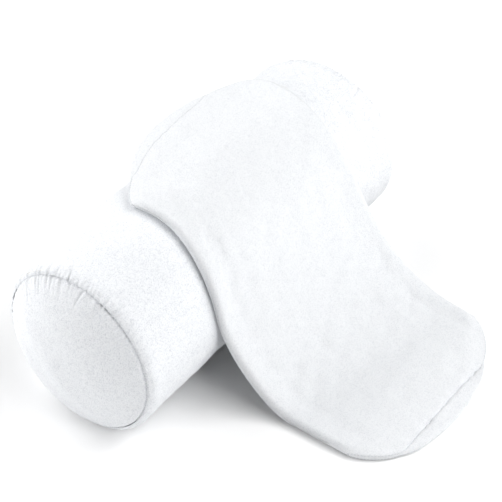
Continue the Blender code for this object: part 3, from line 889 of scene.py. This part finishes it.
            # painted shade: the stitches wear the darkened thread colour for the shade in the seam
            thread = palette.wear(self.stitches(f"roll_stitches_{end}", side), "THREAD")
            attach(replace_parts(thread, f"seam_thread_{end}"), "bolster")
            LOG.info("roll end %s: %d faces", end, len(panel.data.polygons))
            liner = palette.wear(self.inner_dome(f"liner_dome_{end}", side, 0.0032, 0.0), "LINER")
            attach(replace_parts(liner, f"liner_end_{end}"), "bolster")
            pad = palette.wear(self.inner_dome(f"fibre_dome_{end}", side, 0.0045, 0.0045), "FIBRE")
            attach(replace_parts(pad, f"fibre_pad_{end}"), "bolster")
            LOG.info("inner layers at the %s end", end)
        lining = palette.wear(self.lining("liner_tube", 0.0030), "LINER")
        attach(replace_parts(lining, "liner_sleeve"), "bolster")


# ---- the spare cover -------------------------------------------------------------
class Course:
    """Side view of one lengthwise line of the spare cover, from the front seam backwards.

    Attributes:
        RUN_UP: Length of flat line drawn before the front seam, metres.
        FLAT: Points on the floor.
        BEND: Points on the rise, and again on the roll.
    """

    RUN_UP, FLAT, BEND = 0.05, 30, 160

    def __init__(self, share: float, cover: "SpareCover") -> None:
        """Blend between the left and right edges.

        Args:
            share: 0 at the left edge, 1 at the right.
            cover: Sizes of the cover.
        """
        mix = lambda left, right: left + (right - left) * share
        big = cover.roll_radius
        self.front = cover.front * big
        touch = mix(*cover.touch) * big
        self.leave = math.radians(mix(*cover.leave))
        self.axis = big * cover.pressed
        self.laid = cover.laid
        rise, reach = mix(*cover.rise) * big, mix(*cover.reach) * big
        top = np.array([-self.laid * math.sin(self.leave), self.axis + self.laid * math.cos(self.leave)])
        foot = np.array([touch, cover.floor])
        hold = top - np.array([math.cos(self.leave), math.sin(self.leave)]) * rise
        t = np.linspace(0, 1, self.BEND)[:, None]
        curve = (foot * (1 - t) ** 3 + (foot + [reach, 0]) * 3 * (1 - t) ** 2 * t
                 + hold * 3 * (1 - t) * t ** 2 + top * t ** 3)
        tail = math.radians(mix(*cover.tail))
        back = self.leave - np.linspace(0, self.leave + tail, self.BEND)[1:]
        arc = np.stack([-self.laid * np.sin(back), self.axis + self.laid * np.cos(back)], axis=1)
        out = np.linspace(0, 0.2, 41)[1:, None] * [math.cos(tail), -math.sin(tail)]
        arc = np.concatenate([arc, arc[-1] + out])
        ground = np.linspace(self.front - self.RUN_UP, touch, self.FLAT)[:-1]
        flat = np.stack([ground, np.full(len(ground), cover.floor)], axis=1)
        self.line = np.concatenate([flat, curve, arc])
        steps = np.linalg.norm(np.diff(self.line, axis=0), axis=1)
        self.marks = np.concatenate([[0.0], np.cumsum(steps)]) - self.RUN_UP
        way = np.gradient(self.line, self.marks, axis=0)
        self.way = way / np.linalg.norm(way, axis=1)[:, None]
        self.flat, self.end = touch - self.front, self.marks[self.FLAT + self.BEND - 2]

    def at(self, along: np.ndarray) -> tuple[np.ndarray, np.ndarray]:
        """Points and forward directions in the YZ plane.

        Args:
            along: Distances from the front seam.

        Returns:
            Points and unit directions.
        """
        spot = np.stack([np.interp(along, self.marks, self.line[:, k]) for k in (0, 1)], axis=-1)
        way = np.stack([np.interp(along, self.marks, self.way[:, k]) for k in (0, 1)], axis=-1)
        return spot, way / np.linalg.norm(way, axis=-1, keepdims=True)


@dataclass
class SpareCover:
    """Empty cover, flattened and draped over the roll; sizes are the CAD model's."""

    roll_radius: float = 0.100
    pressed: float = 0.968
    laid: float = 0.1009
    floor: float = 0.0004
    width: float = 0.256
    length: float = 0.472
    fold: float = 0.0064
    middle: float = 0.0085
    front: float = -3.09
    touch: tuple[float, float] = (-1.91, -2.55)
    leave: tuple[float, float] = (78.0, 56.0)
    rise: tuple[float, float] = (0.474, 0.678)
    reach: tuple[float, float] = (0.44, 1.11)
    corner_depth: float = 0.049
    corner_reach: tuple[float, float] = (0.055, 0.080)
    rear_depth: float = 0.043
    rear_reach: tuple[float, float] = (0.112, 0.076)
    tail: tuple[float, float] = (5.6, 1.1)
    crest: float = 0.0155
    crest_x: float = -0.010
    crest_half: float = 0.085
    tip: float = 0.004
    zip_along: tuple[float, float] = (0.0757, 0.4117)
    stations: int = 210
    panel_rows: int = 14
    close_rows: int = 18
    close_span: float = 0.030
    zip_ease: tuple[int, int] = (3, 6)
    slit_half: int = 3
    bunches: tuple[tuple[float, float], ...] = ((0.74, 2.0), (0.40, 1.6))

    def corner(self, x: np.ndarray, rear: bool = False) -> np.ndarray:
        """Distance that the sleeve is set back at the rounded corners of one end.

        Args:
            x: Places across the flat cover.
            rear: True for the rear end.

        Returns:
            Set-backs in metres.
        """
        left, right = self.rear_reach if rear else self.corner_reach
        reach = np.where(np.asarray(x) > 0, right, left)
        into = np.clip((np.abs(x) - (self.width / 2 - reach)) / reach, 0.0, 1.0)
        curve = (1 - np.sqrt(1 - into * into * 0.85)) / (1 - math.sqrt(0.15))
        return (self.rear_depth if rear else self.corner_depth) * curve

    def showing(self, x: np.ndarray) -> np.ndarray:
        """How far the folded end panel shows beyond its seam.

        Args:
            x: Places across the flat cover.

        Returns:
            Depths in metres.
        """
        return self.crest * (1 - np.clip(np.abs(np.asarray(x) - self.crest_x) / self.crest_half, 0, 1) ** 2)

    def pull(self, place: float) -> float:
        """Strength of the gathers along an end seam: bunched in two places.

        Args:
            place: Distance along the seam from the left edge.

        Returns:
            A factor of about 0.4 to 2.4.
        """
        return 0.4 + sum(size * math.exp(-((place - spot * self.width) / 0.020) ** 2)
                         for spot, size in self.bunches)

    def lay(self, x: np.ndarray, along: np.ndarray, height: np.ndarray) -> np.ndarray:
        """Place points of the flat cover on the roll and the floor.

        Args:
            x: Places across, one for each row of the other arrays.
            along: Distances from the front seam.
            height: Heights above what the cover lies on.

        Returns:
            Array of points.
        """
        out = np.zeros((*along.shape, 3))
        for i, place in enumerate(x):
            share = min(max((place + self.width / 2) / self.width, 0.0), 1.0)
            line = Course(share, self)
            spot, way = line.at(along[i])
            start, end = line.flat * 0.6, line.end * 1.45
            hang = np.clip((along[i] - start) / (end - start), 0.0, 1.0)
            sway = np.sin(math.pi * hang ** 1.525) ** 2
            out[i, :, 0] = place + self.roll_radius * (0.169 + 0.065 * hang - 0.145 * sway)
            out[i, :, 1] = spot[:, 0] - way[:, 1] * height[i]
            out[i, :, 2] = spot[:, 1] + way[:, 0] * height[i]
        return out

    def section(self) -> tuple[np.ndarray, np.ndarray, np.ndarray]:
        """Places across the cover with the heights of its underside and top.

        Returns:
            Places, lower heights and upper heights, from the left edge to the right.
        """
        loop, edge = self.fold, self.width / 2 - self.fold
        turn = np.radians(np.linspace(0, 90, 9))
        x = [edge + loop * np.cos(turn)]
        low, up = [loop - loop * np.sin(turn)], [loop + loop * np.sin(turn)]
        inner = edge - np.concatenate([np.linspace(0.0014, 0.020, 12), np.linspace(0.023, 0.052, 11)])
        ease = (1 + np.cos(math.pi * np.clip((edge - inner) / 0.026, 0, 1))) / 2
        x.append(inner)
        low.append(np.zeros_like(inner))
        up.append(self.middle + (2 * loop - self.middle) * ease)
        flat = np.linspace(inner[-1], 0, 17)[1:]
        x.append(flat)
        low.append(np.zeros_like(flat))
        up.append(np.full_like(flat, self.middle))
        x, low, up = (np.concatenate(v) for v in (x, low, up))
        return (np.concatenate([-x[:-1], x[::-1]]), np.concatenate([low[:-1], low[::-1]]),
                np.concatenate([up[:-1], up[::-1]]))

    def rim(self, x: np.ndarray, rear: bool) -> tuple[np.ndarray, np.ndarray]:
        """Outermost line and seam line of one end, as set-backs from its middle.

        Args:
            x: Places across the flat cover.
            rear: True for the rear end.

        Returns:
            Set-backs of the outermost line and of the seam.
        """
        show = self.showing(x)
        tip = self.corner(x, rear) - self.tip - show
        return tip, tip + (show + self.tip) * (0.3 + 0.7 * smooth_step(0.0, 0.006, show))

    def bag(self) -> tuple[np.ndarray, np.ndarray, int]:
        """Points of both plies, from the front tip to the rear tip.

        Returns:
            Top ply, underside, and the number of rows in each end panel.
        """
        x, low, up = self.section()
        panel = self.panel_rows
        bend = (1 - np.cos(np.linspace(0, math.pi / 2, panel + 1))) ** 0.9
        close = np.geomspace(1.0, 30.0, self.close_rows)
        close = (close - 1) / (close[-1] - 1) * self.close_span
        (tip, seam), (tip_r, seam_r) = self.rim(x, False), self.rim(x, True)
        ends, starts = [], []
        for t, e in ((tip, seam), (tip_r, seam_r)):
            ends.append(t[:, None] + (e - t)[:, None] * bend[None])
            starts.append(e[:, None] + close[None, 1:])
        last = self.length - starts[1][:, ::-1]
        inner = np.linspace(0, 1, self.stations)[None, 1:-1]
        body = starts[0][:, -1:] + (last[:, :1] - starts[0][:, -1:]) * inner
        along = np.concatenate([ends[0], starts[0], body, last, (self.length - ends[1])[:, ::-1]], axis=1)
        reach = np.minimum(along - tip[:, None], (self.length - tip_r)[:, None] - along)
        away = np.minimum(np.abs(along - seam[:, None]), np.abs(self.length - along - seam_r[:, None]))
        thick = (up - low)[:, None]
        round_ = np.sqrt(np.clip(1 - (1 - np.clip(reach / 0.0055, 0, 1)) ** 2, 0, 1))
        thin = 0.62 + 0.38 * smooth_step(0.002, 0.022, reach)
        half, mid = thick / 2 * round_ * thin, low[:, None] + thick / 2 * thin
        shown = smooth_step(0.001, 0.006, self.showing(x))[:, None]
        behind = smooth_step(0.5 * self.length, 0.6 * self.length, along)
        shown = shown * (1 - 0.75 * behind)
        dent = shown * (0.0022 * np.exp(-(away / 0.0013) ** 2) + 0.0006 * np.exp(-(away / 0.006) ** 2))
        across = np.broadcast_to(x[:, None], along.shape)
        front = along < self.length / 2
        gathers = np.zeros_like(along)
        for is_front, seed in ((True, SEED + 21), (False, SEED + 22)):
            row = Gathers(pitch=0.0062, depth=0.0024, reach=0.0120, seed=seed)
            value = row.height(across + self.width / 2, away, self.width, False, self.pull)
            gathers = np.where(front == is_front, value, gathers)
        free = 0.35 + 0.65 * smooth_step(0.0, 0.030, self.width / 2 - np.abs(across))
        crinkled = smooth_step(0.26, 0.40, along) * (1 - smooth_step(-0.04, 0.10, across))
        swell = free * (0.0012 * ripples(across, along, 0.11, SEED + 31)
                        + 0.00038 * ripples(across, along, 0.028, SEED + 32)
                        + 0.00030 * crinkled * ripples(across, along, 0.011, SEED + 33))
        top = mid + half - (dent - gathers * shown) * round_ + swell * round_
        under = np.maximum(mid - half, 0.0)
        upper = self.lay(x, along, top)
        bound = smooth_step(0.012, 0.030, reach) * smooth_step(0.010, 0.030, self.width / 2 - np.abs(across))
        upper += Settling(pressure=0.6, slack=0.010, cap=0.0014).drift(
            upper, False, bound, Vector((0, -0.5, 1)))
        return upper, self.lay(x, along, under), panel

    def build(self, palette: Palette) -> None:
        """Make every piece and hand it to the frame.

        Args:
            palette: The materials.
        """
        top, under, panel = self.bag()
        count = len(top)
        ring = np.concatenate([top, under[::-1]])  # columns round the cover, rows along it
        points = ring.transpose(1, 0, 2)
        rows = len(points)
        zip_rows = self._zip_rows(points)
        edge = count - 1
        skip = lambda j, i: zip_rows[0] <= j < zip_rows[1] and abs(i - edge) <= self.slit_half
        sleeve = grid_mesh("spare_cover_sleeve", points[panel:rows - panel], True,
                           lambda j, i: skip(j + panel, i))
        # painted shade: the spare cover wears a darker copy of the roll's plush
        palette.wear(sleeve, "SPARE")
        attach(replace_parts(sleeve, "spare_sleeve"), "spare_cover")
        LOG.info("spare sleeve: %d faces", len(sleeve.data.polygons))
        for end, part in (("front", points[:panel + 1]), ("back", points[rows - panel - 1:])):
            obj = palette.wear(grid_mesh(f"spare_cover_end_{end}", part, True), "SPARE")
            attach(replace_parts(obj, f"spare_end_{end}"), "spare_cover")
            seam = points[panel] if end == "front" else points[rows - panel - 1]
            # painted shade: the stitches wear the darkened thread colour for the shade in the seam
            thread = palette.wear(self.stitches(f"spare_stitches_{end}", seam), "THREAD")
            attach(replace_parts(thread, f"spare_thread_{end}"), "spare_cover")
            LOG.info("spare end %s: %d faces", end, len(obj.data.polygons))

    def _zip_rows(self, points: np.ndarray) -> tuple[int, int]:
        """Rows of the right edge between which the zip opens.

        Args:
            points: Rows of points round the cover.

        Returns:
            First and last row.
        """
        edge = np.array([self.width / 2])
        front, rear = float(self.corner(edge)[0]), float(self.corner(edge, True)[0])
        fine = self.panel_rows + self.close_rows
        share = (len(points) - 2 * fine) / (self.length - front - rear - 2 * self.close_span)
        first, last = (fine + int(share * (v - front - self.close_span)) for v in self.zip_along)
        return first + self.zip_ease[0], last - self.zip_ease[1]

    @staticmethod
    def stitches(name: str, ring: np.ndarray) -> bpy.types.Object:
        """Short stitches along a seam line.

        Args:
            name: Name of the piece.
            ring: Closed line of points.

        Returns:
            All stitches of that seam as one piece.
        """
        loop = np.concatenate([ring, ring[:1]])
        marks = np.concatenate([[0.0], np.cumsum(np.linalg.norm(np.diff(loop, axis=0), axis=1))])
        pitch, length, thick = 0.0036, 0.0026, 0.0004
        places = []
        for i in range(int(marks[-1] / pitch)):
            a, b = (np.array([np.interp(i * pitch + o, marks, loop[:, k]) for k in range(3)])
                    for o in (0.0, length))
            places.append((Vector((a + b) / 2), Vector(b - a)))
        return stitch_row(name, places, length, thick)


# ---- pieces kept from the CAD model ------------------------------------------------
@dataclass
class KeptPieces:
    """CAD nodes that keep their shape and get a finer surface."""

    soften: float = 0.00025
    pull_top: float = 0.2033

    FINISHES = {
        "foam_core": "FOAM", "fibre_wrap": "FIBRE",
        "zip_tape_upper": "TAPE", "zip_tape_lower": "TAPE", "spare_zip_tape_upper": "TAPE",
        "spare_zip_tape_lower": "TAPE", "zip_coil_upper": "NYLON", "zip_coil_lower": "NYLON",
        "spare_zip_coil_upper": "NYLON", "spare_zip_coil_lower": "NYLON", "zip_top_stop": "ENAMEL",
        "zip_bottom_stop": "ENAMEL", "spare_zip_top_stop": "ENAMEL", "spare_zip_bottom_stop": "ENAMEL",
        "zip_slider": "ENAMEL", "zip_pull": "ENAMEL", "spare_zip_slider": "ENAMEL",
    }

    def build(self, palette: Palette) -> None:
        """Dress every kept node.

        Args:
            palette: The materials.
        """
        for name, finish in self.FINISHES.items():
            node = palette.wear(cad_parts[name], finish)
            if finish == "ENAMEL":
                edge = node.modifiers.new("soft_edges", "BEVEL")
                edge.width, edge.segments, edge.limit_method = self.soften, 2, "ANGLE"
            LOG.info("kept %s as %s", name, finish)
        self.cut_pull(palette)

    def cut_pull(self, palette: Palette) -> None:
        """Show a lower copy of the spare zip's pull, which keeps below the fold beside it.

        Everything above pull_top is pressed down to it, so the copy is less than half as tall as the
        CAD pull, has flattened faces and runs into its slider.

        Args:
            palette: The materials.
        """
        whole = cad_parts["spare_zip_pull"]
        slim = bpy.data.objects.new("spare_pull_tab", whole.data.copy())
        slim.matrix_world = whole.matrix_world.copy()
        bpy.context.scene.collection.objects.link(slim)
        back = slim.matrix_world.inverted()
        for vert in slim.data.vertices:
            spot = slim.matrix_world @ vert.co
            vert.co = back @ Vector((spot.x, spot.y, min(spot.z, self.pull_top)))
        palette.wear(slim, "ENAMEL")
        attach(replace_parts(slim, "spare_zip_pull"), "spare_pull")
        LOG.info("cut-down pull for the spare zip")


# ---- studio ----------------------------------------------------------------------
@dataclass
class Studio:
    """Pale floor, soft light and the camera."""

    lens: float = 129.1
    distance: float = 2.0
    azimuth: float = -52.2
    elevation: float = 41.3
    target: tuple[float, float, float] = (0.0, 0.0, 0.100)
    aside: tuple[float, float] = (0.0467, 0.0224)
    lights: tuple[tuple[str, float, float, float, float, float], ...] = (
        ("light_right", 45.0, 50.0, 2.2, 1.2, 31.6),
        ("light_front_high", 0.0, 50.0, 2.2, 1.2, 12.6),
        ("light_front_low", 0.0, 22.0, 2.2, 1.2, 11.8),
        ("light_left", -90.0, 22.0, 2.2, 1.2, 6.4),
        ("light_back_left", -135.0, 22.0, 2.2, 1.2, 17.3),
        ("light_back_low", 180.0, 22.0, 2.2, 1.2, 19.2),
        ("light_back_high", 180.0, 50.0, 2.2, 1.2, 13.3),
        ("light_near", -120.0, 35.0, 1.0, 0.5, 1.06),
    )

    def camera(self) -> None:
        """Place the camera."""
        turn, lift = math.radians(self.azimuth), math.radians(self.elevation)
        back = Vector((math.sin(turn) * math.cos(lift), -math.cos(turn) * math.cos(lift), math.sin(lift)))
        right = Vector((math.cos(turn), math.sin(turn), 0.0))
        up = back.cross(right)
        spot = Vector(self.target) + back * self.distance
        aim = Vector(self.target) + right * self.aside[0] - up * self.aside[1]
        data = bpy.data.cameras.new("camera")
        data.lens, data.sensor_width = self.lens, 36.0
        data.clip_end = 50.0
        obj = bpy.data.objects.new("camera", data)
        obj.location = spot
        obj.rotation_euler = (aim - spot).to_track_quat("-Z", "Y").to_euler()
        bpy.context.scene.collection.objects.link(obj)
        bpy.context.scene.camera = obj

    def floor(self) -> None:
        """Lay a wide, flat, pale floor."""
        mesh = bpy.data.meshes.new("floor")
        bm = bmesh.new()
        bmesh.ops.create_grid(bm, x_segments=8, y_segments=8, size=6.0)
        bm.to_mesh(mesh)
        bm.free()
        obj = bpy.data.objects.new("floor", mesh)
        obj.location.z = -0.0006
        bpy.context.scene.collection.objects.link(obj)
        mat = bpy.data.materials.new("floor_paper")
        mat.use_nodes = True
        shader = next(n for n in mat.node_tree.nodes if n.type == "BSDF_PRINCIPLED")
        shader.inputs["Base Color"].default_value = (0.97, 0.97, 0.97, 1.0)
        shader.inputs["Roughness"].default_value = 1.0
        shader.inputs["Specular IOR Level"].default_value = 0.0
        mesh.materials.append(mat)

    def softbox(self, name: str, azimuth: float, elevation: float, distance: float, size: float,
                power: float) -> None:
        """Add a square soft light aimed at the object.

        Args:
            name: Name of the light.
            azimuth: Direction it stands in, as for the camera.
            elevation: Height above the floor, degrees.
            distance: Distance from the object, metres.
            size: Side of the light, metres.
            power: Watts.
        """
        data = bpy.data.lights.new(name, "AREA")
        data.shape, data.size, data.energy = "SQUARE", size, power
        obj = bpy.data.objects.new(name, data)
        turn, lift = math.radians(azimuth), math.radians(elevation)
        obj.location = Vector((math.sin(turn) * math.cos(lift), -math.cos(turn) * math.cos(lift),
                               math.sin(lift))) * distance
        obj.rotation_euler = (Vector((0, -0.05, 0.08)) - obj.location).to_track_quat("-Z", "Y").to_euler()
        bpy.context.scene.collection.objects.link(obj)

    def build(self) -> None:
        """Set up camera, floor, world and lights."""
        self.camera()
        self.floor()
        world = bpy.data.worlds.new("studio")
        world.use_nodes = True
        back = next(n for n in world.node_tree.nodes if n.type == "BACKGROUND")
        back.inputs["Color"].default_value = (0.95, 0.975, 1.0, 1.0)
        back.inputs["Strength"].default_value = 0.004
        scene = bpy.context.scene
        scene.world = world
        scene.view_settings.view_transform = "Standard"
        for light in self.lights:
            self.softbox(*light)
        LOG.info("studio ready")


def main() -> None:
    """Build the model and the studio in order."""
    logging.basicConfig(level=logging.INFO, format="%(name)s: %(message)s")
    palette = Palette()
    Roll().build(palette)
    SpareCover().build(palette)
    KeptPieces().build(palette)
    Studio().build()


if __name__ == "__main__":
    main()
